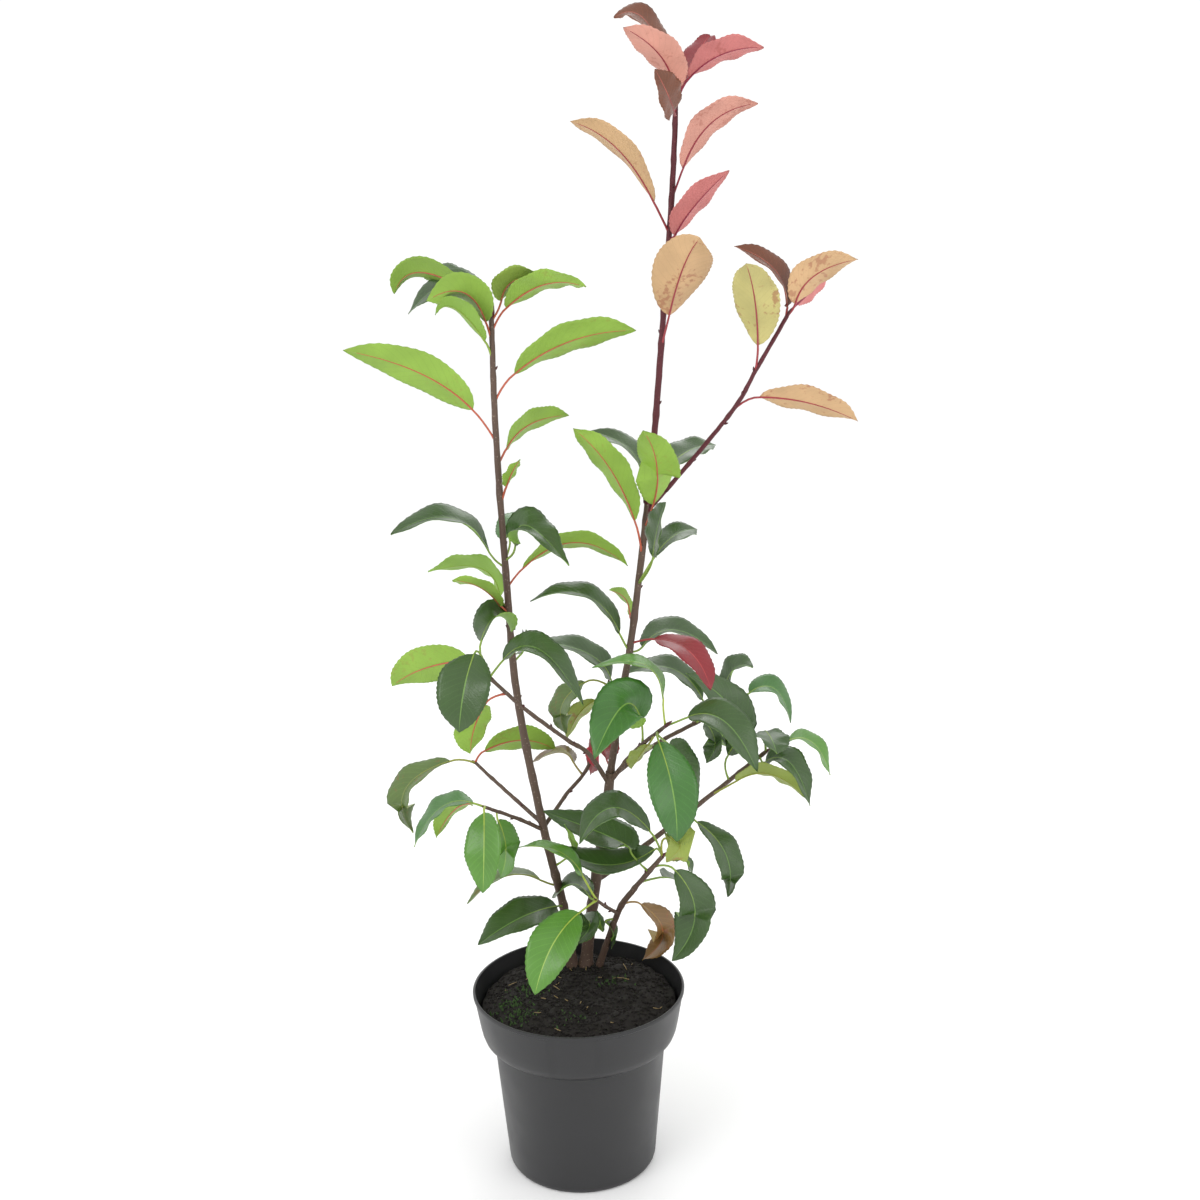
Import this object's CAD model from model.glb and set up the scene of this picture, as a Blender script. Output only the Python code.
"""The looks of a potted photinia: bark, petioles, leaves, buds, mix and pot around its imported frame."""

import math
import random

import bmesh
import bpy
from mathutils import Matrix, Vector, noise


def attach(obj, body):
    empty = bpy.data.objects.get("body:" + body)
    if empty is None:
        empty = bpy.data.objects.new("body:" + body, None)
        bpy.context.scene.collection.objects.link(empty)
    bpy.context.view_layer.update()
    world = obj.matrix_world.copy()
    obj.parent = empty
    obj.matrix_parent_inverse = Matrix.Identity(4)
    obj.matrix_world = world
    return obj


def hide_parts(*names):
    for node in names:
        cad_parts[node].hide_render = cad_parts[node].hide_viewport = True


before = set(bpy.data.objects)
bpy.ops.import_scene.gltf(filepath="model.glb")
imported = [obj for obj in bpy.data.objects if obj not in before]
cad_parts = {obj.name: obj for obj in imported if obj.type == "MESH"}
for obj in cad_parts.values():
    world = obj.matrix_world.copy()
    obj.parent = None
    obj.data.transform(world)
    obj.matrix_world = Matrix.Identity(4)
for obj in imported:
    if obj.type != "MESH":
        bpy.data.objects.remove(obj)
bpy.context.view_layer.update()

MM = 0.001
MERGE = 0.01 * MM

# Noise vectors start from the clock unless they are given a seed
noise.seed_set(7)

# The camera: a 46 mm lens that looks down a little and leans a little to its right
LENS = 46.0
SENSOR = 36.0
PHOTO_SIDE = 1200
CAMERA_PLACE = Vector((0.0269, -1.262, 0.8232))
CAMERA_PITCH = math.radians(13.38)
CAMERA_ROLL = math.radians(-1.27)
FOCAL = LENS / SENSOR * PHOTO_SIDE

# The white studio: its even light, then each lamp's place in metres, side in metres and power in watts
STUDIO_STRENGTH = 1.06
LAMPS = {
    "key": ((-1.4, -1.5, 2.1), 1.3, 16),
    "fill": ((1.7, -1.2, 1.2), 1.2, 6),
    "rim": ((0.4, 1.8, 1.9), 1.2, 8),
}
LAMPS_AIM = Vector((0, 0, 0.5))
FLOOR_SIDE = 40

# The pot's outside, as its solid has it, and the thinner wall of the real one
POT_HEIGHT = 168 * MM
RIM_RADIUS = 95 * MM
LIP_HEIGHT = 3 * MM
COLLAR_HEIGHT = 48 * MM
COLLAR_FOOT_RADIUS = 88 * MM
BODY_TOP_RADIUS = 77 * MM
FOOT_RADIUS = 66.5 * MM
FOOT_ROUNDING = 4 * MM
WALL = 1.6 * MM
POT_STEPS = 180
SHARP_ANGLE = 38

# The recess for a label: the angles it spans on the collar, and its radius as a share of the collar's
LABEL_FROM = -105
LABEL_TO = -79
LABEL_SINK = 0.988

# The potting mix: its level in the middle and against the wall, and what lies on it
SOIL_TOP = 160 * MM
SOIL_EDGE = 150 * MM
SOIL_DEPTH = 14 * MM
SOIL_RINGS = 46
SOIL_STEPS = 150
SOIL_RADIUS = COLLAR_FOOT_RADIUS - 1 * MM
CRUMBS = 2600
CRUMB_SIZE = (0.6 * MM, 2.4 * MM)
TUFT_SIZE = (0.5 * MM, 1.3 * MM)
STRAWS = 26
STRAW_LENGTH = (3 * MM, 9 * MM)
STRAW_RADII = [0.35 * MM, 0.45 * MM, 0.2 * MM]
CLEAR_OF_WALL = 0.95
MOSS_PATCHES = [
    dict(x=-60, y=-18, spread=9, tufts=90),
    dict(x=-52, y=-38, spread=8, tufts=80),
    dict(x=-46, y=6, spread=8, tufts=50),
    dict(x=-8, y=-48, spread=8, tufts=30),
    dict(x=30, y=18, spread=8, tufts=40),
]

# Limbs: the points each axis passes through in mm, its radii at foot and tip in mm, and its bark.
# A limb whose foot stands in the mix starts at that height.
IN_MIX = 160.3
LIMBS = {
    "stem_left": ([(-6, 50, IN_MIX), (-12, 42, 221), (-28, 34, 303), (-47, 20, 432),
                   (-52, 8, 539), (-56, 0, 670), (-56, 0, 762)], 4.5, 2.2, "bark"),
    "trunk": ([(6, 51, IN_MIX), (13, 45, 219), (29, 38, 325), (33, 36, 356)], 5.6, 4.0, "bark"),
    "leader": ([(33.2, 36, 357), (43, 30, 422), (54, 25, 486), (69, 20, 601), (76, 20, 665),
                (84, 20, 755), (92, 20, 850), (96, 20, 918)], 3.4, 2.2, "bark"),
    "side_shoot": ([(68, 20, 594), (101, 10, 633), (139, -12, 683), (156, -20, 714),
                    (180, -30, 758)], 2.0, 1.6, "red_bark"),
    "bough_left": ([(31, 37, 345), (14, 18, 380), (-5, 0, 400), (-40, -35, 441),
                    (-65, -55, 473)], 2.2, 1.6, "bark"),
    "bough_front": ([(31, 37, 345), (55, 15, 383), (80, -22, 417)], 2.2, 1.6, "bark"),
    "bough_back": ([(32, 37, 350), (74, 60, 373), (121, 90, 387), (151, 106, 398)], 2.2, 1.6, "bark"),
    "bough_right": ([(18, 43, 250), (39, 48, 262), (114, 60, 315), (161, 65, 351),
                     (175, 65, 362)], 2.6, 1.8, "bark"),
    "stem_front": ([(18, 48, IN_MIX), (37, 20, 228), (50, 3, 256), (63, -10, 278),
                    (76, -20, 298)], 3.0, 2.0, "bark"),
    "twig_front": ([(37, 20, 227), (26, 0, 243), (18, -10, 254)], 1.7, 1.4, "bark"),
    "twig_left_back": ([(-31, 32, 312), (-63, 55, 334), (-91, 75, 354)], 1.9, 1.5, "bark"),
    "twig_left_front": ([(-28, 34, 303), (-50, 15, 322), (-76, -20, 347)], 1.9, 1.5, "bark"),
    "twig_back": ([(-28, 34, 306), (-8, 50, 330), (14, 70, 353), (30, 100, 405),
                   (33, 107, 418)], 1.9, 1.4, "bark"),
}
RED_FROM_HEIGHT = 600 * MM
LIMB_STEPS = 14
NODE_SPACING = (26 * MM, 34 * MM)
NODE_SWELLING = 0.16
NODE_REACH = 2.2 * MM
FOOT_SWELLING = 0.35
FOOT_STEPS = 6
FOOT_SINK = 4 * MM
BARK_SCALE = 130
BARK_UNEVENNESS = 0.35 * MM

# The bud at each limb's end: its radius and length in mm, and how its radius changes along it.
# Small ones sit in the axils.
END_BUDS = {
    "stem_left": (2.6, 22), "leader": (1.8, 10), "side_shoot": (1.4, 8), "bough_left": (1.5, 8),
    "bough_front": (1.7, 14), "bough_back": (1.7, 11), "bough_right": (1.4, 7),
    "stem_front": (1.4, 7), "twig_front": (1.1, 5), "twig_left_back": (1.2, 5),
    "twig_left_front": (1.2, 5), "twig_back": (1.1, 6),
}
BUD_PLACES = (0, 0.2, 0.45, 0.75, 1.0)
BUD_SHARES = (0.8, 1.1, 1.0, 0.55, 0.08)
AXIL_BUD_PLACES = (0, 1.2 * MM, 2.4 * MM, 3.6 * MM)
AXIL_BUD_RADII = [0.9 * MM, 1.0 * MM, 0.7 * MM, 0.1 * MM]

# Each spray's leaves. foot, base, crest and tip are pixels of the 1200-pixel photograph, depth is
# how far back each of the four lies in mm, width is the blade's in mm, and shows runs from 1, the
# upper side flat to the camera, through 0, edge on, to -1, the under side.
SPRAYS = {
    "left_top": [
        dict(foot=(493, 344), base=(486, 322), crest=(463, 292), tip=(426, 301),
             depth=(0, -5, -30, -55), width=36, shows=-0.7, tint="lime"),
        dict(foot=(490, 318), base=(484, 306), crest=(450, 283), tip=(408, 314),
             depth=(0, 5, 30, 50), width=36, shows=0.5, tint="dark"),
        dict(foot=(490, 318), base=(480, 300), crest=(422, 272), tip=(394, 294),
             depth=(0, 5, 20, 30), width=34, shows=-0.5, tint="lime"),
        dict(foot=(490, 318), base=(480, 296), crest=(447, 274), tip=(431, 277),
             depth=(0, 10, 50, 75), width=34, shows=0.3, tint="dark"),
        dict(foot=(489, 362), base=(485, 341), crest=(455, 308), tip=(435, 315),
             depth=(0, -5, -25, -35), width=28, shows=-0.4, tint="mid"),
        dict(foot=(495, 322), base=(501, 301), crest=(515, 280), tip=(548, 279),
             depth=(0, -3, -15, -25), width=30, shows=-0.6, tint="spotted"),
        dict(foot=(495, 330), base=(506, 308), crest=(545, 284), tip=(586, 287),
             depth=(0, -5, -30, -50), width=34, shows=-0.5, tint="lime"),
    ],
    "left_west": [
        dict(foot=(492, 442), base=(473, 410), crest=(420, 373), tip=(343, 350),
             depth=(0, 0, 0, -5), width=40, shows=-0.75, tint="lime"),
    ],
    "left_east": [
        dict(foot=(495, 404), base=(514, 374), crest=(570, 341), tip=(636, 330),
             depth=(0, 0, 0, 5), width=40, shows=-0.6, tint="lime"),
    ],
    "left_back": [
        dict(foot=(500, 468), base=(506, 449), crest=(530, 424), tip=(569, 415),
             depth=(0, 10, 35, 55), width=32, shows=-0.5, tint="lime"),
        dict(foot=(502, 503), base=(506, 487), crest=(512, 472), tip=(520, 459),
             depth=(3, -5, -20, -30), width=14, shows=-0.6, tint="lime"),
    ],
    "left_middle": [
        dict(foot=(508, 560), base=(510, 540), crest=(515, 522), tip=(535, 516),
             depth=(8, 20, 50, 80), width=32, shows=0.5, tint="mid"),
        dict(foot=(509, 562), base=(515, 546), crest=(528, 526), tip=(569, 566),
             depth=(8, -5, -25, -50), width=36, shows=0.6, tint="dark"),
    ],
    "left_inner": [
        dict(foot=(512, 585), base=(523, 568), crest=(575, 542), tip=(628, 566),
             depth=(8, 10, 20, 25), width=36, shows=-0.4, tint="lime"),
    ],
    "left_outer": [
        dict(foot=(503, 570), base=(490, 553), crest=(450, 518), tip=(391, 535),
             depth=(8, 5, 0, -5), width=38, shows=0.35, tint="dark"),
    ],
    "left_rear": [
        dict(foot=(505, 610), base=(500, 598), crest=(480, 568), tip=(428, 572),
             depth=(10, 15, 30, 50), width=34, shows=-0.4, tint="mid"),
    ],
    "left_near": [
        dict(foot=(504, 612), base=(500, 605), crest=(480, 587), tip=(452, 580),
             depth=(10, 0, -30, -50), width=28, shows=-0.3, tint="lime"),
        dict(foot=(516, 664), base=(521, 654), crest=(525, 645), tip=(524, 634),
             depth=(15, 25, 50, 80), width=26, shows=0.3, tint="dark"),
    ],
    "bough_left": [
        dict(foot=(490, 678), base=(474, 654), crest=(464, 690), tip=(459, 733),
             depth=(-55, -75, -100, -105), width=44, shows=0.97, tint="dark"),
        dict(foot=(490, 676), base=(481, 641), crest=(497, 616), tip=(515, 630),
             depth=(-55, -45, -10, 20), width=36, shows=0.5, tint="dark"),
        dict(foot=(490, 678), base=(503, 660), crest=(540, 650), tip=(583, 706),
             depth=(-55, -60, -70, -80), width=38, shows=0.5, tint="dark"),
        dict(foot=(488, 676), base=(470, 660), crest=(425, 668), tip=(392, 686),
             depth=(-55, -50, -40, -30), width=40, shows=-0.8, tint="lime"),
    ],
    "bough_left_low": [
        dict(foot=(506, 698), base=(485, 704), crest=(474, 728), tip=(470, 754),
             depth=(-48, -40, -30, -20), width=34, shows=-0.8, tint="lime"),
    ],
    "twig_left_back": [
        dict(foot=(472, 763), base=(450, 761), crest=(405, 790), tip=(413, 833),
             depth=(75, 75, 70, 65), width=38, shows=0.55, tint="olive"),
        dict(foot=(475, 762), base=(484, 751), crest=(522, 740), tip=(556, 750),
             depth=(75, 80, 95, 105), width=32, shows=-0.7, tint="lime"),
    ],
    "twig_left_front": [
        dict(foot=(484, 806), base=(473, 803), crest=(440, 808), tip=(414, 847),
             depth=(-20, -20, -15, -15), width=34, shows=0.4, tint="mid"),
        dict(foot=(484, 806), base=(470, 803), crest=(452, 812), tip=(436, 838),
             depth=(-20, 0, 30, 45), width=26, shows=-0.6, tint="lime"),
        dict(foot=(484, 806), base=(484, 812), crest=(484, 850), tip=(483, 893),
             depth=(-20, -35, -60, -65), width=34, shows=0.9, tint="fresh"),
        dict(foot=(498, 813), base=(498, 820), crest=(506, 850), tip=(500, 878),
             depth=(-10, -5, 5, 10), width=30, shows=0.7, tint="fresh"),
    ],
    "twig_back": [
        dict(foot=(609, 683), base=(611, 679), crest=(585, 652), tip=(530, 642),
             depth=(105, 100, 90, 80), width=36, shows=0.5, tint="dark"),
        dict(foot=(606, 685), base=(585, 682), crest=(562, 705), tip=(566, 734),
             depth=(105, 100, 95, 90), width=32, shows=0.6, tint="olive"),
        dict(foot=(606, 690), base=(595, 700), crest=(578, 715), tip=(567, 739),
             depth=(105, 110, 120, 125), width=26, shows=-0.6, tint="olive"),
        dict(foot=(580, 773), base=(573, 761), crest=(558, 752), tip=(530, 764),
             depth=(65, 75, 100, 120), width=24, shows=0.2, tint="brown"),
    ],
    "low_west": [
        dict(foot=(555, 887), base=(541, 880), crest=(505, 876), tip=(467, 904),
             depth=(38, 35, 20, 5), width=28, shows=0.3, tint="olive"),
        dict(foot=(558, 867), base=(573, 848), crest=(570, 836), tip=(565, 825),
             depth=(38, 25, 10, 0), width=18, shows=-0.3, tint="mid"),
    ],
    "low_near": [
        dict(foot=(566, 906), base=(557, 906), crest=(520, 918), tip=(478, 945),
             depth=(40, 30, -5, -30), width=40, shows=0.75, tint="dark"),
        dict(foot=(572, 925), base=(578, 918), crest=(590, 925), tip=(575, 945),
             depth=(44, 30, 0, -15), width=30, shows=0.6, tint="dark"),
    ],
    "twig_front": [
        dict(foot=(596, 901), base=(579, 913), crest=(552, 946), tip=(535, 995),
             depth=(-10, -25, -55, -75), width=40, shows=0.97, tint="fresh"),
        dict(foot=(593, 901), base=(589, 896), crest=(572, 884), tip=(552, 898),
             depth=(-10, 0, 25, 40), width=30, shows=0.5, tint="dark"),
        dict(foot=(593, 899), base=(583, 876), crest=(558, 851), tip=(518, 847),
             depth=(-10, -15, -20, -25), width=28, shows=0.35, tint="fresh"),
    ],
    "stem_front": [
        dict(foot=(646, 872), base=(630, 849), crest=(608, 836), tip=(543, 811),
             depth=(-12, -5, 10, 30), width=40, shows=0.75, tint="dark"),
        dict(foot=(661, 855), base=(650, 831), crest=(611, 808), tip=(579, 844),
             depth=(-20, -25, -35, -45), width=40, shows=0.6, tint="dark"),
        dict(foot=(660, 855), base=(655, 849), crest=(605, 865), tip=(554, 844),
             depth=(-20, -15, 0, 10), width=38, shows=0.6, tint="dark"),
        dict(foot=(662, 853), base=(667, 838), crest=(680, 845), tip=(666, 862),
             depth=(-20, -35, -60, -70), width=34, shows=-0.6, tint="olive"),
        dict(foot=(664, 853), base=(675, 853), crest=(685, 859), tip=(693, 875),
             depth=(-20, -15, -5, 5), width=20, shows=0.3, tint="dark"),
    ],
    "front_right": [
        dict(foot=(652, 867), base=(675, 870), crest=(695, 915), tip=(672, 961),
             depth=(-15, -20, -30, -35), width=40, shows=0.8, tint="dark"),
        dict(foot=(640, 886), base=(663, 877), crest=(672, 878), tip=(681, 882),
             depth=(-8, 5, 20, 35), width=24, shows=0.3, tint="dark"),
    ],
    "low_right": [
        dict(foot=(625, 906), base=(641, 904), crest=(663, 933), tip=(642, 960),
             depth=(15, 25, 40, 50), width=30, shows=0.8, tint="turning"),
        dict(foot=(597, 916), base=(606, 922), crest=(613, 933), tip=(611, 949),
             depth=(20, 25, 30, 35), width=16, shows=0.4, tint="dark"),
    ],
    "fork_front": [
        dict(foot=(646, 736), base=(641, 720), crest=(623, 706), tip=(594, 759),
             depth=(15, 5, -30, -70), width=46, shows=0.97, tint="mid"),
        dict(foot=(611, 768), base=(607, 760), crest=(600, 750), tip=(590, 775),
             depth=(36, 45, 70, 85), width=34, shows=0.7, tint="crimson"),
    ],
    "leader_near": [
        dict(foot=(632, 645), base=(655, 639), crest=(690, 652), tip=(711, 690),
             depth=(25, 15, -10, -30), width=30, shows=0.7, tint="crimson"),
    ],
    "leader_far": [
        dict(foot=(633, 654), base=(642, 647), crest=(675, 630), tip=(718, 654),
             depth=(26, 35, 60, 80), width=34, shows=0.5, tint="dark"),
    ],
    "bough_back_inner": [
        dict(foot=(718, 712), base=(703, 700), crest=(670, 668), tip=(622, 676),
             depth=(95, 90, 80, 70), width=34, shows=0.5, tint="dark"),
    ],
    "bough_front": [
        dict(foot=(665, 727), base=(688, 717), crest=(725, 722), tip=(757, 772),
             depth=(-22, -30, -45, -60), width=40, shows=0.7, tint="dark"),
        dict(foot=(666, 724), base=(663, 700), crest=(645, 665), tip=(592, 667),
             depth=(-22, -20, -10, 0), width=28, shows=0.3, tint="fresh"),
        dict(foot=(653, 732), base=(659, 742), crest=(673, 792), tip=(677, 842),
             depth=(-15, -35, -65, -70), width=42, shows=0.97, tint="mid"),
        dict(foot=(655, 732), base=(670, 745), crest=(685, 765), tip=(697, 803),
             depth=(-10, 5, 20, 25), width=34, shows=0.6, tint="dark"),
        dict(foot=(650, 735), base=(648, 745), crest=(640, 755), tip=(631, 769),
             depth=(-10, 0, 15, 25), width=24, shows=-0.5, tint="olive"),
    ],
    "bough_back": [
        dict(foot=(738, 700), base=(724, 690), crest=(735, 668), tip=(753, 668),
             depth=(105, 100, 90, 80), width=32, shows=0.5, tint="dark"),
        dict(foot=(736, 702), base=(749, 693), crest=(775, 689), tip=(791, 723),
             depth=(105, 110, 120, 125), width=32, shows=0.5, tint="mid"),
        dict(foot=(693, 718), base=(705, 722), crest=(715, 743), tip=(706, 763),
             depth=(85, 75, 60, 50), width=28, shows=0.6, tint="dark"),
    ],
    "bough_right_up": [
        dict(foot=(728, 777), base=(728, 755), crest=(733, 712), tip=(686, 673),
             depth=(62, 60, 50, 40), width=42, shows=0.8, tint="dark"),
    ],
    "bough_right": [
        dict(foot=(768, 750), base=(766, 731), crest=(772, 740), tip=(777, 754),
             depth=(65, 55, 30, 15), width=32, shows=0.8, tint="dark"),
        dict(foot=(768, 750), base=(785, 742), crest=(812, 742), tip=(830, 775),
             depth=(65, 65, 65, 65), width=30, shows=0.4, tint="fresh"),
        dict(foot=(760, 757), base=(765, 762), crest=(790, 763), tip=(810, 806),
             depth=(65, 55, 35, 20), width=34, shows=0.6, tint="dark"),
        dict(foot=(713, 793), base=(736, 781), crest=(770, 774), tip=(805, 797),
             depth=(62, 50, 35, 25), width=34, shows=-0.35, tint="olive"),
    ],
    "bough_right_low": [
        dict(foot=(690, 812), base=(697, 822), crest=(726, 855), tip=(728, 897),
             depth=(58, 50, 35, 30), width=34, shows=0.7, tint="dark"),
    ],
    "leader_west": [
        dict(foot=(638, 553), base=(635, 521), crest=(610, 468), tip=(573, 428),
             depth=(20, 10, 0, -10), width=36, shows=-0.65, tint="lime"),
    ],
    "leader_back": [
        dict(foot=(645, 508), base=(643, 487), crest=(630, 450), tip=(588, 431),
             depth=(20, 30, 50, 70), width=34, shows=0.4, tint="dark"),
    ],
    "leader_front": [
        dict(foot=(646, 529), base=(653, 505), crest=(657, 465), tip=(643, 430),
             depth=(20, 0, -35, -60), width=38, shows=-0.85, tint="lime"),
    ],
    "leader_east": [
        dict(foot=(648, 500), base=(665, 470), crest=(690, 450), tip=(716, 445),
             depth=(20, 45, 75, 90), width=34, shows=0.6, tint="dark"),
    ],
    "leader_pair": [
        dict(foot=(641, 585), base=(653, 556), crest=(657, 530), tip=(665, 502),
             depth=(20, 0, -20, -40), width=28, shows=0.5, tint="dark"),
        dict(foot=(641, 585), base=(655, 556), crest=(675, 535), tip=(697, 529),
             depth=(20, 10, 30, 50), width=30, shows=0.6, tint="dark"),
    ],
    "leader_low": [
        dict(foot=(631, 622), base=(630, 615), crest=(625, 598), tip=(609, 590),
             depth=(22, 35, 60, 80), width=16, shows=-0.5, tint="lime"),
        dict(foot=(625, 651), base=(620, 634), crest=(585, 595), tip=(530, 601),
             depth=(26, 20, 5, -5), width=34, shows=0.4, tint="dark"),
    ],
    "leader_top": [
        dict(foot=(674, 115), base=(674, 90), crest=(660, 55), tip=(623, 27),
             depth=(20, 10, -15, -40), width=34, shows=-0.8, tint="salmon"),
        dict(foot=(676, 105), base=(670, 80), crest=(645, 20), tip=(614, 18),
             depth=(20, 30, 50, 60), width=30, shows=0.5, tint="bronze"),
        dict(foot=(679, 100), base=(683, 84), crest=(700, 50), tip=(710, 35),
             depth=(20, 25, 50, 60), width=28, shows=0.6, tint="crimson"),
        dict(foot=(680, 100), base=(689, 78), crest=(722, 54), tip=(764, 47),
             depth=(20, 15, 5, -5), width=32, shows=-0.6, tint="pink"),
        dict(foot=(676, 118), base=(674, 112), crest=(668, 95), tip=(655, 69),
             depth=(20, 0, -25, -40), width=30, shows=0.7, tint="bronze"),
    ],
    "upper_west": [
        dict(foot=(664, 231), base=(654, 202), crest=(617, 148), tip=(570, 121),
             depth=(20, 15, 10, 0), width=34, shows=-0.5, tint="tan"),
    ],
    "upper_east": [
        dict(foot=(673, 199), base=(683, 168), crest=(712, 122), tip=(758, 103),
             depth=(20, 20, 20, 20), width=30, shows=-0.7, tint="salmon"),
    ],
    "upper_near": [
        dict(foot=(668, 240), base=(675, 235), crest=(695, 205), tip=(729, 170),
             depth=(20, 15, 0, -10), width=30, shows=-0.65, tint="pink"),
    ],
    "upper_front": [
        dict(foot=(662, 346), base=(669, 316), crest=(683, 268), tip=(700, 238),
             depth=(20, 5, -30, -55), width=46, shows=-0.97, tint="tan"),
    ],
    "shoot_top": [
        dict(foot=(785, 318), base=(787, 308), crest=(775, 270), tip=(734, 246),
             depth=(-30, -30, -25, -20), width=28, shows=0.45, tint="bronze"),
        dict(foot=(787, 316), base=(795, 304), crest=(815, 275), tip=(858, 259),
             depth=(-30, -32, -36, -40), width=34, shows=-0.7, tint="tan"),
        dict(foot=(787, 316), base=(797, 304), crest=(816, 286), tip=(830, 272),
             depth=(-30, -20, 0, 15), width=20, shows=-0.7, tint="pink"),
    ],
    "shoot_front": [
        dict(foot=(756, 372), base=(758, 345), crest=(755, 300), tip=(746, 263),
             depth=(-20, -30, -55, -80), width=38, shows=-0.95, tint="green_tan"),
    ],
    "shoot_east": [
        dict(foot=(732, 411), base=(760, 397), crest=(810, 403), tip=(858, 421),
             depth=(-12, -12, -10, -5), width=30, shows=-0.7, tint="tan"),
    ],
}

# Plain colours of each kind of leaf: upper side, under side, midrib and petiole
TINTS = {
    "dark": ((0.036, 0.082, 0.016), (0.20, 0.36, 0.055), (0.13, 0.25, 0.05), (0.22, 0.33, 0.05)),
    "mid": ((0.045, 0.150, 0.024), (0.24, 0.42, 0.055), (0.17, 0.33, 0.06), (0.26, 0.38, 0.05)),
    "fresh": ((0.085, 0.230, 0.026), (0.27, 0.45, 0.060), (0.30, 0.45, 0.09), (0.36, 0.46, 0.06)),
    "lime": ((0.040, 0.125, 0.024), (0.25, 0.42, 0.050), (0.36, 0.44, 0.12), (0.48, 0.10, 0.05)),
    "spotted": ((0.040, 0.120, 0.024), (0.27, 0.40, 0.055), (0.36, 0.42, 0.10), (0.45, 0.12, 0.05)),
    "olive": ((0.090, 0.150, 0.030), (0.26, 0.33, 0.055), (0.22, 0.26, 0.07), (0.30, 0.32, 0.05)),
    "brown": ((0.140, 0.090, 0.035), (0.24, 0.22, 0.070), (0.25, 0.20, 0.08), (0.28, 0.22, 0.06)),
    "turning": ((0.210, 0.110, 0.030), (0.33, 0.24, 0.070), (0.42, 0.10, 0.05), (0.35, 0.20, 0.05)),
    "crimson": ((0.210, 0.012, 0.018), (0.50, 0.045, 0.070), (0.45, 0.05, 0.05), (0.30, 0.03, 0.03)),
    "bronze": ((0.150, 0.042, 0.014), (0.55, 0.28, 0.170), (0.46, 0.10, 0.07), (0.28, 0.03, 0.03)),
    "salmon": ((0.160, 0.036, 0.016), (0.66, 0.31, 0.240), (0.50, 0.12, 0.10), (0.28, 0.02, 0.04)),
    "pink": ((0.150, 0.030, 0.026), (0.60, 0.19, 0.180), (0.50, 0.09, 0.10), (0.28, 0.02, 0.05)),
    "tan": ((0.140, 0.044, 0.014), (0.58, 0.37, 0.190), (0.52, 0.17, 0.10), (0.34, 0.04, 0.05)),
    "green_tan": ((0.150, 0.060, 0.020), (0.52, 0.46, 0.170), (0.56, 0.22, 0.12), (0.34, 0.04, 0.05)),
}
YOUNG_TINTS = ("crimson", "bronze", "salmon", "pink", "tan", "green_tan")
SPECKS = {"spotted": 0.8, "tan": 0.45, "green_tan": 0.55, "salmon": 0.3, "pink": 0.3, "olive": 0.5,
          "lime": 0.18, "turning": 0.6, "brown": 0.5}
SPECK_COLOUR = (0.30, 0.05, 0.03, 1)

# Every blade: its grid, its shell, its toothed edge, and side veins that slant away from the midrib
BLADE_ROWS = 36
BLADE_COLUMNS = 12
BLADE_THICKNESS = 0.45 * MM
RIB_HALF = 0.028
TEETH = 1.1 * MM
SIDE_VEINS = 13
VEIN_SLANT = 0.21
VEIN_GROOVE = 0.5 * MM

# How much blades vary: their fold, twist, and the height and count of their ripples
FOLD = (0.22, 0.42)
TWIST = (-0.22, 0.22)
RIPPLE = (0.5 * MM, 1.3 * MM)
BEATS = (2.0, 3.4)

# Petioles, and the ridge that each makes under its blade
PETIOLE_RADIUS = 0.95 * MM
RIDGE_STEPS = 13
RIDGE_SINK = 0.35 * MM


def camera_axes():
    ahead = Vector((0, math.cos(CAMERA_PITCH), -math.sin(CAMERA_PITCH)))
    above = Vector((0, math.sin(CAMERA_PITCH), math.cos(CAMERA_PITCH)))
    across = Vector((1, 0, 0))
    right = across * math.cos(CAMERA_ROLL) + above * math.sin(CAMERA_ROLL)
    top = above * math.cos(CAMERA_ROLL) - across * math.sin(CAMERA_ROLL)
    return right, top, ahead


RIGHT, TOP, AHEAD = camera_axes()


def seen_at(pixel, depth_mm):
    """The point behind a pixel of the photograph, on the upright plane that far back."""
    half = PHOTO_SIDE / 2
    ray = AHEAD + RIGHT * ((pixel[0] - half) / FOCAL) + TOP * ((half - pixel[1]) / FOCAL)
    return CAMERA_PLACE + ray * ((depth_mm * MM - CAMERA_PLACE.y) / ray.y)


def add_camera():
    data = bpy.data.cameras.new("camera")
    data.lens = LENS
    data.sensor_width = SENSOR
    data.sensor_height = SENSOR
    data.sensor_fit = "HORIZONTAL"
    camera = bpy.data.objects.new("camera", data)
    bpy.context.scene.collection.objects.link(camera)
    axes = Matrix((RIGHT, TOP, -AHEAD)).transposed()
    camera.matrix_world = Matrix.Translation(CAMERA_PLACE) @ axes.to_4x4()
    bpy.context.scene.camera = camera


def add_lights():
    world = bpy.data.worlds.new("studio")
    world.use_nodes = True
    background = world.node_tree.nodes["Background"]
    background.inputs["Color"].default_value = (1, 1, 1, 1)
    background.inputs["Strength"].default_value = STUDIO_STRENGTH
    bpy.context.scene.world = world
    bpy.context.scene.view_settings.view_transform = "Standard"
    for name, (place, side, power) in LAMPS.items():
        data = bpy.data.lights.new(name, "AREA")
        data.size = side
        data.energy = power
        light = bpy.data.objects.new(name, data)
        light.location = place
        aim = LAMPS_AIM - Vector(place)
        light.rotation_euler = aim.to_track_quat("-Z", "Y").to_euler()
        bpy.context.scene.collection.objects.link(light)


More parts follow.
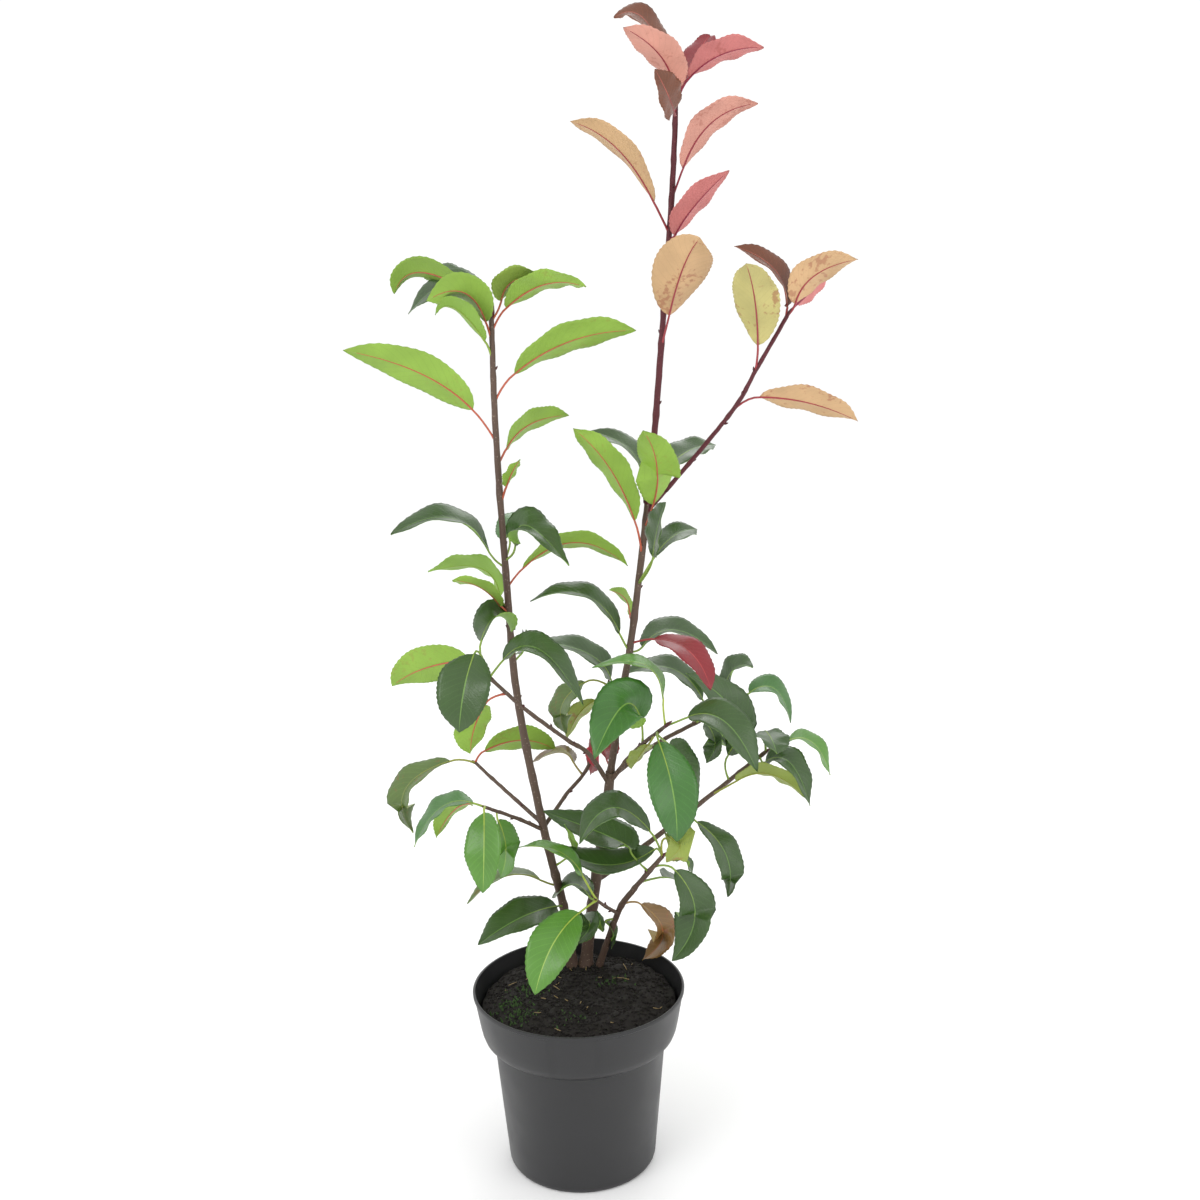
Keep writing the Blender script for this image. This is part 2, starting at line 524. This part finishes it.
class Nodes:
    """Short calls to add and join the shader nodes of one material or group."""

    def __init__(self, tree):
        self.tree = tree

    def add(self, kind, values=None, **settings):
        node = self.tree.nodes.new(kind)
        for key, value in settings.items():
            setattr(node, key, value)
        for key, value in (values or {}).items():
            if isinstance(value, bpy.types.NodeSocket):
                self.join(value, node.inputs[key])
            else:
                node.inputs[key].default_value = value
        return node

    def join(self, source, socket):
        self.tree.links.new(source, socket)

    def compute(self, operation, *terms):
        return self.add("ShaderNodeMath", dict(enumerate(terms)), operation=operation).outputs[0]

    def rescale(self, value, low, high, new_low, new_high):
        values = {"Value": value, 1: low, 2: high, 3: new_low, 4: new_high}
        return self.add("ShaderNodeMapRange", values).outputs[0]

    def mix(self, mask, first, second):
        return self.add("ShaderNodeMix", {0: mask, 6: first, 7: second}, data_type="RGBA").outputs[2]

    def bump(self, height, strength, distance):
        values = {"Height": height, "Strength": strength, "Distance": distance}
        return self.add("ShaderNodeBump", values).outputs["Normal"]


def principled(name, roughness):
    made = bpy.data.materials.new(name)
    made.use_nodes = True
    shader = made.node_tree.nodes["Principled BSDF"]
    shader.inputs["Roughness"].default_value = roughness
    return made, shader, Nodes(made.node_tree)


def shade(colour, factor):
    return (*[channel * factor for channel in colour[:3]], 1)


def mottle_group():
    """A cloudy mask on the object's own coordinates, with two tones mixed by it and a bump from it."""
    group = bpy.data.node_groups.new("mottle", "ShaderNodeTree")
    wanted = {"Dark": ("NodeSocketColor", (0, 0, 0, 1)), "Pale": ("NodeSocketColor", (1, 1, 1, 1)),
              "Scale": ("NodeSocketFloat", 100.0), "Detail": ("NodeSocketFloat", 2.0),
              "Stretch": ("NodeSocketVector", (1, 1, 1)), "Strength": ("NodeSocketFloat", 0.3),
              "Distance": ("NodeSocketFloat", 0.0004)}
    for name, (kind, value) in wanted.items():
        socket = group.interface.new_socket(name, in_out="INPUT", socket_type=kind)
        socket.default_value = value
    for name, kind in {"Tone": "Color", "Mask": "Float", "Normal": "Vector"}.items():
        group.interface.new_socket(name, in_out="OUTPUT", socket_type="NodeSocket" + kind)
    nodes = Nodes(group)
    given = nodes.add("NodeGroupInput").outputs
    place = nodes.add("ShaderNodeTexCoord").outputs["Object"]
    place = nodes.add("ShaderNodeMapping", {"Vector": place, "Scale": given["Stretch"]}).outputs[0]
    values = {"Vector": place, "Scale": given["Scale"], "Detail": given["Detail"]}
    mask = nodes.add("ShaderNodeTexNoise", values).outputs["Fac"]
    tone = nodes.mix(mask, given["Dark"], given["Pale"])
    normal = nodes.bump(mask, given["Strength"], given["Distance"])
    nodes.add("NodeGroupOutput", {"Tone": tone, "Mask": mask, "Normal": normal})
    return group


MOTTLE = mottle_group()


def mottle(nodes, scale, detail=2.0, **values):
    """The shared mottle, placed in one material. Its outputs are Tone, Mask and Normal."""
    values |= {"Scale": scale, "Detail": detail}
    return nodes.add("ShaderNodeGroup", values, node_tree=MOTTLE).outputs


def leaf_side(name, colour, gloss, specks, vein_depth, contrast):
    """One side of a blade: cloudy colour, slanting side veins, specks and a fine grain."""
    made, shader, nodes = principled(name, gloss)
    shader.inputs["Coat Weight"].default_value = 0.12 if contrast > 1 else 0.0
    shader.inputs["Coat Roughness"].default_value = 0.25
    blade = nodes.add("ShaderNodeUVMap", uv_map="blade").outputs["UV"]
    blade = nodes.add("ShaderNodeSeparateXYZ", {"Vector": blade}).outputs
    from_rib = nodes.compute("ABSOLUTE", nodes.compute("SUBTRACT", blade["X"], 0.5))
    slant = nodes.compute("MULTIPLY_ADD", from_rib, -2 * VEIN_SLANT, blade["Y"])
    wave = nodes.compute("COSINE", nodes.compute("MULTIPLY", slant, SIDE_VEINS * math.tau))
    vein = nodes.rescale(wave, 0.86, 1.0, 0.0, 1.0)
    clouds = mottle(nodes, 34.0, 3.0, Dark=shade(colour, 0.72), Pale=shade(colour, 1.3))["Tone"]
    veined = nodes.mix(nodes.compute("MULTIPLY", vein, 0.22), clouds, shade(colour, contrast))
    dots = nodes.compute("MULTIPLY", mottle(nodes, 260.0)["Mask"], mottle(nodes, 28.0)["Mask"])
    dots = nodes.rescale(dots, 0.33, 0.40, 0.0, specks)
    nodes.join(nodes.mix(dots, veined, SPECK_COLOUR), shader.inputs["Base Color"])
    place = nodes.add("ShaderNodeTexCoord").outputs["Object"]
    cells = nodes.add("ShaderNodeTexVoronoi", {"Vector": place, "Scale": 700.0}).outputs["Distance"]
    height = nodes.compute("MULTIPLY_ADD", vein, -vein_depth, cells)
    nodes.join(nodes.bump(height, 0.25, 0.0005), shader.inputs["Normal"])
    return made


def plain_growth(name, colour, roughness, spread=0.25, scale=220.0):
    """Petioles, midribs, buds and mix: a soft change of tone and a faint grain."""
    made, shader, nodes = principled(name, roughness)
    grain = mottle(nodes, scale, 3.0, Dark=shade(colour, 1 - spread), Pale=shade(colour, 1 + spread))
    nodes.join(grain["Tone"], shader.inputs["Base Color"])
    nodes.join(grain["Normal"], shader.inputs["Normal"])
    return made


def bark_material(name, colour, pale, pores):
    """Bark with fibres that run up the limb, cloudy patches, and pale pores."""
    made, shader, nodes = principled(name, 0.62)
    fibre = mottle(nodes, 420.0, 5.0, Dark=shade(colour, 0.6), Pale=shade(colour, 1.4),
                   Stretch=(1, 1, 0.22), Strength=0.5, Distance=0.0006)
    tone = mottle(nodes, 60.0, Dark=fibre["Tone"], Pale=shade(colour, 0.75))["Tone"]
    place = nodes.add("ShaderNodeTexCoord").outputs["Object"]
    spots = nodes.add("ShaderNodeTexVoronoi", {"Vector": place, "Scale": 330.0}).outputs["Distance"]
    pore = nodes.rescale(spots, 0.12, 0.2, pores, 0.0)
    nodes.join(nodes.mix(pore, tone, (*pale, 1)), shader.inputs["Base Color"])
    nodes.join(fibre["Normal"], shader.inputs["Normal"])
    return made


def pot_material():
    """Black moulded plastic, scuffed unevenly, with a fine matt grain."""
    made, shader, nodes = principled("moulded_plastic", 0.42)
    scuffs = mottle(nodes, 24.0, 6.0, Dark=(0.012, 0.012, 0.013, 1), Pale=(0.022, 0.022, 0.024, 1))
    grain = mottle(nodes, 1400.0, Strength=0.16, Distance=0.0003)
    nodes.join(scuffs["Tone"], shader.inputs["Base Color"])
    nodes.join(nodes.rescale(scuffs["Mask"], 0.3, 0.7, 0.34, 0.5), shader.inputs["Roughness"])
    nodes.join(grain["Normal"], shader.inputs["Normal"])
    return made


def leaf_materials():
    """The four finishes of each tint: upper side, under side, midrib and petiole."""
    made = {}
    for tint, (upper, under, rib, petiole) in TINTS.items():
        specks = SPECKS.get(tint, 0.0)
        gloss = 0.4 if tint in YOUNG_TINTS else 0.3
        made[tint] = (
            leaf_side(tint + "_upper", upper, gloss, specks * 0.5, 0.6, 1.9),
            leaf_side(tint + "_under", under, 0.55, specks, -0.5, 0.75),
            plain_growth(tint + "_rib", rib, 0.45),
            plain_growth(tint + "_stalk", petiole, 0.42),
        )
    return made


def piece(name, body, materials, replaced=(), smooth=True):
    """A finished mesh that rides with the plant and stands for the named solids."""
    mesh = bpy.data.meshes.new(name)
    body.to_mesh(mesh)
    body.free()
    obj = bpy.data.objects.new(name, mesh)
    bpy.context.scene.collection.objects.link(obj)
    for material in materials:
        mesh.materials.append(material)
    if smooth:
        mesh.shade_smooth()
    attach(obj, "root")
    if replaced:
        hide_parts(*replaced)
    return obj


def smooth_path(points, count):
    """A curve through the points, with this many steps between each two."""
    ends = [2 * points[0] - points[1], *points, 2 * points[-1] - points[-2]]
    path = []
    for a, b, c, d in zip(ends, ends[1:], ends[2:], ends[3:]):
        for step in range(count):
            t = step / count
            path.append(0.5 * (2 * b + (c - a) * t + (2 * a - 5 * b + 4 * c - d) * t**2
                               + (3 * b - a - 3 * c + d) * t**3))
    return path + [ends[-2]]


def limb_points(name):
    return [Vector(point) * MM for point in LIMBS[name][0]]


AXIS_POINTS = [point for name in LIMBS for point in smooth_path(limb_points(name), 20)]


def nearest_on_limbs(place):
    """The closest point of any limb's axis, so that every petiole springs from its limb."""
    return min(AXIS_POINTS, key=lambda point: (point - place).length_squared)


def add_spline(data, path, radii, material):
    spline = data.splines.new("POLY")
    spline.points.add(len(path) - 1)
    spline.material_index = material
    for point, place, radius in zip(spline.points, path, radii):
        point.co = (*place, 1)
        point.radius = radius


def tubes(name, splines, resolution):
    """Round closed tubes in one mesh, one from each (path, radii, material) entry."""
    data = bpy.data.curves.new(name, "CURVE")
    data.dimensions = "3D"
    data.bevel_depth = 1
    data.bevel_resolution = resolution
    data.use_fill_caps = True
    for _ in range(max(entry[2] for entry in splines) + 1):
        data.materials.append(None)
    for path, radii, material in splines:
        add_spline(data, path, radii, material)
    curve = bpy.data.objects.new(name + "_axis", data)
    bpy.context.scene.collection.objects.link(curve)
    bpy.context.view_layer.update()
    finished = curve.evaluated_get(bpy.context.evaluated_depsgraph_get())
    mesh = bpy.data.meshes.new_from_object(finished)
    bpy.data.objects.remove(curve)
    body = bmesh.new()
    body.from_mesh(mesh)
    bpy.data.meshes.remove(mesh)
    bmesh.ops.remove_doubles(body, verts=body.verts, dist=MERGE)
    bmesh.ops.recalc_face_normals(body, faces=body.faces)
    return body


def limb_piece(name, barks):
    """A limb with its true taper, swollen a little at each node and uneven all over."""
    _, foot_radius, tip_radius, bark = LIMBS[name]
    path = smooth_path(limb_points(name), LIMB_STEPS)
    draw = random.Random(name)
    last = len(path) - 1
    spacing = draw.uniform(*NODE_SPACING)
    radii = []
    gone = 0.0
    for i, place in enumerate(path):
        gone += (place - path[i - 1]).length if i else 0.0
        radius = (foot_radius + (tip_radius - foot_radius) * i / last) * MM
        off_node = abs(gone / spacing - round(gone / spacing)) * spacing
        radii.append(radius * (1 + NODE_SWELLING * math.exp(-(off_node / NODE_REACH) ** 2)))
    if LIMBS[name][0][0][2] == IN_MIX:
        for i in range(FOOT_STEPS):
            radii[i] *= 1 + FOOT_SWELLING * (1 - i / FOOT_STEPS) ** 2
        path[0].z -= FOOT_SINK
    body = tubes(name, [(path, radii, 0)], 6)
    for vertex in body.verts:
        vertex.co += noise.noise_vector(vertex.co * BARK_SCALE) * BARK_UNEVENNESS
    used = [barks[bark]]
    if name == "leader":
        used.append(barks["red_bark"])
        for face in body.faces:
            face.material_index = int(face.calc_center_median().z > RED_FROM_HEIGHT)
    piece(name + "_bark", body, used, [name])


def blade_width(t):
    """The blade's half width as a share of its widest, from base at 0 to tip at 1."""
    body = math.sin(math.pi * t ** 0.92) ** 0.66
    point = 1 - 0.4 * max(0.0, (t - 0.8) / 0.2) ** 2
    return body * point


def along(leaf, t):
    """The midrib: a parabola through base, crest and tip."""
    base = leaf["base"] * (2 * t * t - 3 * t + 1)
    crest = leaf["crest"] * (4 * t - 4 * t * t)
    return base + crest + leaf["tip"] * (2 * t * t - t)


def slope(leaf, t):
    way = leaf["base"] * (4 * t - 3) + leaf["crest"] * (4 - 8 * t) + leaf["tip"] * (4 * t - 1)
    return way.normalized()


def blade_frame(leaf, t, twist):
    """Side, forward and upper directions of a blade at one place along its midrib."""
    ahead = slope(leaf, t)
    to_eye = (CAMERA_PLACE - leaf["crest"]).normalized()
    across = ahead.cross(to_eye).normalized()
    facing = across.cross(ahead).normalized()
    lean = 1 if across.z > 0 else -1
    upper = facing * leaf["shows"] + across * lean * math.sqrt(max(0.0, 1 - leaf["shows"] ** 2))
    upper = Matrix.Rotation(twist, 3, ahead) @ upper
    upper = (upper - ahead * upper.dot(ahead)).normalized()
    return ahead.cross(upper), ahead, upper


def flat_blade(slots):
    """A thin flat shell two units square, with its sides and midrib in their slots."""
    body = bmesh.new()
    columns = BLADE_COLUMNS + 1
    bmesh.ops.create_grid(body, x_segments=columns, y_segments=BLADE_ROWS, size=1)
    middle = 1.0 / columns
    layer = body.loops.layers.uv.new("blade")
    for vertex in body.verts:
        side = abs(vertex.co.x)
        stretched = RIB_HALF + (side - middle) / (1 - middle) * (1 - RIB_HALF)
        vertex.co.x = math.copysign(stretched, vertex.co.x)
    for face in body.faces:
        for loop in face.loops:
            loop[layer].uv = (loop.vert.co.x * 0.5 + 0.5, loop.vert.co.y * 0.5 + 0.5)
    shell = list(body.faces) + list(body.edges) + list(body.verts)
    bmesh.ops.solidify(body, geom=shell, thickness=BLADE_THICKNESS)
    bmesh.ops.recalc_face_normals(body, faces=body.faces)
    body.normal_update()
    upper_slot, under_slot, rib_slot = slots
    for face in body.faces:
        if abs(face.calc_center_median().x) < RIB_HALF * 0.9:
            face.material_index = rib_slot
        else:
            face.material_index = upper_slot if face.normal.z > 0.5 else under_slot
    return body


def leaf_body(leaf, draw, slots):
    """One blade: folded along its midrib, twisted, rippled, grooved and toothed."""
    body = flat_blade(slots)
    fold = draw.uniform(*FOLD)
    twist = draw.uniform(*TWIST)
    ripple = draw.uniform(*RIPPLE)
    beats = draw.uniform(*BEATS)
    phase = draw.uniform(0, math.tau)
    half = leaf["width"] * MM / 2
    frames = {}
    for vertex in body.verts:
        x, y, z = vertex.co
        out = abs(x)
        t = min(1.0, max(0.0, y * 0.5 + 0.5))
        row = round(t * BLADE_ROWS)
        if row not in frames:
            frames[row] = (along(leaf, t), *blade_frame(leaf, t, twist * (t - 0.5) * 2))
        place, side, _, upper = frames[row]
        wide = half * blade_width(t)
        if out > 0.999 and 0.05 < t < 0.97:
            wide += TEETH * (0.5 if row % 2 else -0.1)
        reach = out * wide
        bend = fold * (1 - 0.35 * out)
        wave = ripple * math.sin(math.tau * beats * t + phase + (1.2 if x > 0 else 0)) * x * x
        veins = math.cos(math.tau * SIDE_VEINS * (t - VEIN_SLANT * out))
        groove = VEIN_GROOVE * veins * out * (1 - out)
        height = reach * math.sin(bend) + wave + groove + z * (1 - 0.6 * out)
        vertex.co = place + side * math.copysign(reach * math.cos(bend), x) + upper * height
    bmesh.ops.recalc_face_normals(body, faces=body.faces)
    return body


def petiole(leaf):
    """The path and radii from the limb to the blade, and on as the ridge under the midrib."""
    foot, base = leaf["foot"], leaf["base"]
    bend = base - slope(leaf, 0) * (base - foot).length * 0.45
    path = [foot.lerp(bend, t).lerp(bend.lerp(base, t), t) for t in (0, 0.2, 0.4, 0.6, 0.8)]
    radii = [PETIOLE_RADIUS * share for share in (1.5, 1.05, 1, 1, 1)]
    for i in range(RIDGE_STEPS):
        t = i / RIDGE_STEPS
        upper = blade_frame(leaf, t, 0)[2]
        path.append(along(leaf, t) - upper * RIDGE_SINK)
        radii.append(PETIOLE_RADIUS * (0.95 - 0.75 * t))
    return path, radii


def spray_pieces(name, leaves, materials):
    """The blades of one spray as one piece, and its petioles as another."""
    blades = bmesh.new()
    tints = []
    petioles = []
    for number, entry in enumerate(leaves):
        leaf = {key: entry[key] for key in ("width", "shows")}
        for key, depth in zip(("foot", "base", "crest", "tip"), entry["depth"]):
            leaf[key] = seen_at(entry[key], depth)
        leaf["foot"] = nearest_on_limbs(leaf["foot"])
        if entry["tint"] not in tints:
            tints.append(entry["tint"])
        place = tints.index(entry["tint"])
        draw = random.Random(f"{name} {number}")
        one = leaf_body(leaf, draw, (3 * place, 3 * place + 1, 3 * place + 2))
        mesh = bpy.data.meshes.new("blade")
        one.to_mesh(mesh)
        one.free()
        blades.from_mesh(mesh)
        bpy.data.meshes.remove(mesh)
        petioles.append((*petiole(leaf), place))
    sides = [materials[tint][part] for tint in tints for part in range(3)]
    piece(name + "_leaves", blades, sides, ["foliage_" + name])
    body = tubes(name + "_stalks", petioles, 1)
    piece(name + "_stalks", body, [materials[tint][3] for tint in tints])


def bud_piece(scales):
    """Pointed winter buds at the limb tips and small ones in the axils."""
    splines = []
    for name, (radius, length) in END_BUDS.items():
        points = limb_points(name)
        ahead = (points[-1] - points[-2]).normalized()
        path = [points[-1] + ahead * length * MM * (t - 0.1) for t in BUD_PLACES]
        radii = [radius * MM * share for share in BUD_SHARES]
        splines.append((path, radii, 0))
        draw = random.Random("axil " + name)
        axis = smooth_path(points, 8)
        for i in range(4, len(axis) - 4, 5):
            way = (axis[i + 1] - axis[i]).normalized()
            out = way.orthogonal().normalized()
            out = Matrix.Rotation(draw.uniform(0, math.tau), 3, way) @ out
            tip = (way * 0.8 + out * 0.6).normalized()
            start = axis[i] + out * LIMBS[name][2] * MM * 0.9
            path = [start + tip * step for step in AXIL_BUD_PLACES]
            splines.append((path, AXIL_BUD_RADII, 0))
    piece("buds", tubes("buds", splines, 2), [scales])


def spun(profile, steps):
    """A profile of (radius, height) points turned round the pot's upright middle."""
    body = bmesh.new()
    points = [body.verts.new((radius, 0, height)) for radius, height in profile]
    edges = [body.edges.new(pair) for pair in zip(points, points[1:])]
    bmesh.ops.spin(body, geom=points + edges, cent=(0, 0, 0), axis=(0, 0, 1), angle=math.tau,
                   steps=steps, use_merge=True)
    bmesh.ops.remove_doubles(body, verts=body.verts, dist=MERGE)
    bmesh.ops.recalc_face_normals(body, faces=body.faces)
    return body


def pot_profile():
    """The pot's section: over the lip, down the collar and body, under the foot and up inside."""
    top = POT_HEIGHT
    under_lip = top - LIP_HEIGHT
    ledge = top - COLLAR_HEIGHT
    inside = RIM_RADIUS - 2.2 * MM
    lip = [
        (inside, top - 0.5 * MM), (RIM_RADIUS - 1.7 * MM, top - 0.1 * MM), (RIM_RADIUS - 1 * MM, top),
        (RIM_RADIUS - 0.3 * MM, top - 0.4 * MM), (RIM_RADIUS, top - 1.2 * MM),
        (RIM_RADIUS - 0.1 * MM, under_lip), (RIM_RADIUS - 1.1 * MM, under_lip - 0.8 * MM),
    ]
    collar = [
        (RIM_RADIUS - 2 * MM, top - 9 * MM), (COLLAR_FOOT_RADIUS + 1.2 * MM, ledge + 17 * MM),
        (COLLAR_FOOT_RADIUS - 0.3 * MM, ledge + 10 * MM), (COLLAR_FOOT_RADIUS - 2 * MM, ledge + 5.5 * MM),
        (COLLAR_FOOT_RADIUS - 5 * MM, ledge + 2 * MM), (BODY_TOP_RADIUS + 2.5 * MM, ledge - 0.4 * MM),
        (BODY_TOP_RADIUS + 0.4 * MM, ledge - 2 * MM), (BODY_TOP_RADIUS - 0.2 * MM, ledge - 6 * MM),
    ]
    foot = [
        (FOOT_RADIUS + 0.5 * MM, FOOT_ROUNDING * 1.4), (FOOT_RADIUS - 0.1 * MM, FOOT_ROUNDING * 0.8),
        (FOOT_RADIUS - 1.6 * MM, FOOT_ROUNDING * 0.2), (FOOT_RADIUS - 3.4 * MM, 0),
        (FOOT_RADIUS - 12 * MM, 0), (FOOT_RADIUS - 14 * MM, 1.4 * MM), (0, 1.6 * MM),
    ]
    inner = [
        (0, 1.6 * MM + WALL), (FOOT_RADIUS - WALL - 3 * MM, 1.4 * MM + WALL),
        (BODY_TOP_RADIUS - WALL, ledge - 2 * MM), (COLLAR_FOOT_RADIUS - 3 * MM - WALL, ledge + 5 * MM),
        (COLLAR_FOOT_RADIUS - WALL, ledge + 11 * MM), (inside - WALL * 0.4, top - 6 * MM),
        (inside, top - 0.5 * MM),
    ]
    return lip + collar + foot + inner


def pot_piece():
    """The pot, with the flat recess for a label that its collar has at the front."""
    body = spun(pot_profile(), POT_STEPS)
    low = POT_HEIGHT - COLLAR_HEIGHT + 4 * MM
    high = POT_HEIGHT - LIP_HEIGHT - 0.5 * MM
    for vertex in body.verts:
        angle = math.degrees(math.atan2(vertex.co.y, vertex.co.x))
        outer = math.hypot(vertex.co.x, vertex.co.y) > COLLAR_FOOT_RADIUS - 2.5 * MM
        if outer and low < vertex.co.z < high and LABEL_FROM < angle < LABEL_TO:
            vertex.co.x *= LABEL_SINK
            vertex.co.y *= LABEL_SINK
    obj = piece("nursery_pot", body, [pot_material()], ["pot"])
    obj.data.set_sharp_from_angle(angle=math.radians(SHARP_ANGLE))


def mix_height(x, y):
    """The lumpy surface of the mix, sunk at the wall and a little higher at the back."""
    edge = max(0.0, (math.hypot(x, y) - 60 * MM) / (30 * MM))
    height = SOIL_TOP - (SOIL_TOP - SOIL_EDGE) * min(1.0, edge) ** 1.3
    height += noise.noise(Vector((x, y, 0)) * 55) * 3.2 * MM
    height += noise.noise(Vector((x, y, 0.4)) * 190) * 1.8 * MM
    back = max(0.0, (x * 0.4 + y * 0.9) / (90 * MM))
    return height + back * 3 * MM


def mix_piece(soil):
    low = SOIL_EDGE - SOIL_DEPTH
    profile = [(SOIL_RADIUS * i / SOIL_RINGS, SOIL_TOP) for i in range(SOIL_RINGS + 1)]
    profile += [(SOIL_RADIUS - 2 * MM, low), (0, low)]
    body = spun(profile, SOIL_STEPS)
    for vertex in body.verts:
        if vertex.co.z > SOIL_TOP - 0.1 * MM:
            vertex.co.z = mix_height(vertex.co.x, vertex.co.y)
    piece("mix", body, [soil], ["soil"])


def crumb_body(draw):
    crumbs = bmesh.new()
    for _ in range(CRUMBS):
        r = SOIL_RADIUS * math.sqrt(draw.random()) * 0.97
        angle = draw.uniform(0, math.tau)
        x, y = r * math.cos(angle), r * math.sin(angle)
        size = draw.uniform(*CRUMB_SIZE)
        turn = draw.uniform(0, math.tau)
        turn = Matrix.Rotation(turn, 4, Vector((draw.random(), draw.random(), draw.random())))
        stretch = Matrix.Diagonal((1, draw.uniform(0.4, 0.9), draw.uniform(0.4, 0.8), 1))
        place = Matrix.Translation((x, y, mix_height(x, y) + size * 0.2))
        bmesh.ops.create_icosphere(crumbs, subdivisions=1, radius=size, matrix=place @ turn @ stretch)
    return crumbs


def moss_body(draw):
    moss = bmesh.new()
    for patch in MOSS_PATCHES:
        for _ in range(patch["tufts"]):
            x = (patch["x"] + draw.gauss(0, patch["spread"])) * MM
            y = (patch["y"] + draw.gauss(0, patch["spread"] * 0.7)) * MM
            if math.hypot(x, y) > SOIL_RADIUS * CLEAR_OF_WALL:
                continue
            size = draw.uniform(*TUFT_SIZE)
            tilt = Matrix.Rotation(draw.uniform(-0.7, 0.7), 4, "X")
            tilt = tilt @ Matrix.Rotation(draw.uniform(-0.7, 0.7), 4, "Y")
            place = Matrix.Translation((x, y, mix_height(x, y) + size))
            bmesh.ops.create_cone(moss, segments=5, radius1=size, radius2=size * 0.1, depth=size * 2.5,
                                  cap_ends=True, matrix=place @ tilt)
    return moss


def straw_splines(draw):
    straws = []
    for _ in range(STRAWS):
        angle = draw.uniform(0, math.tau)
        r = SOIL_RADIUS * draw.uniform(0.2, 0.9)
        start = Vector((r * math.cos(angle), r * math.sin(angle), 0))
        way = Vector((draw.uniform(-1, 1), draw.uniform(-1, 1), 0)).normalized()
        way *= draw.uniform(*STRAW_LENGTH)
        path = [start + way * t for t in (0, 0.5, 1)]
        if max(math.hypot(point.x, point.y) for point in path) > SOIL_RADIUS * CLEAR_OF_WALL:
            continue
        for point in path:
            point.z = mix_height(point.x, point.y) + 1.2 * MM
        straws.append((path, STRAW_RADII, 0))
    return straws


def soil_pieces():
    """The potting mix and what lies on it: crumbs, tufts of moss and bits of straw."""
    soil = plain_growth("damp_mix", (0.008, 0.0055, 0.004), 0.9, 0.6, 300)
    green = plain_growth("moss_green", (0.03, 0.07, 0.012), 0.85, 0.6, 400)
    straw = plain_growth("straw", (0.28, 0.2, 0.09), 0.8)
    mix_piece(soil)
    draw = random.Random("crumbs")
    piece("mix_crumbs", crumb_body(draw), [soil], smooth=False)
    piece("moss", moss_body(draw), [green], smooth=False)
    piece("straw_bits", tubes("straw_bits", straw_splines(draw), 1), [straw])


def floor_piece():
    mesh = bpy.data.meshes.new("floor")
    body = bmesh.new()
    bmesh.ops.create_grid(body, x_segments=1, y_segments=1, size=FLOOR_SIDE / 2)
    body.to_mesh(mesh)
    body.free()
    floor = bpy.data.objects.new("floor", mesh)
    bpy.context.scene.collection.objects.link(floor)
    made, shader, _ = principled("pale_floor", 0.9)
    shader.inputs["Base Color"].default_value = (0.97, 0.97, 0.97, 1)
    mesh.materials.append(made)


def main():
    add_camera()
    add_lights()
    floor_piece()
    barks = {
        "bark": bark_material("grey_brown_bark", (0.115, 0.070, 0.050), (0.34, 0.26, 0.20), 0.7),
        "red_bark": bark_material("dark_red_bark", (0.105, 0.012, 0.020), (0.30, 0.10, 0.09), 0.35),
    }
    for name in LIMBS:
        limb_piece(name, barks)
    materials = leaf_materials()
    for name, leaves in SPRAYS.items():
        spray_pieces(name, leaves, materials)
    bud_piece(plain_growth("bud_scales", (0.075, 0.010, 0.014), 0.4))
    pot_piece()
    soil_pieces()


main()
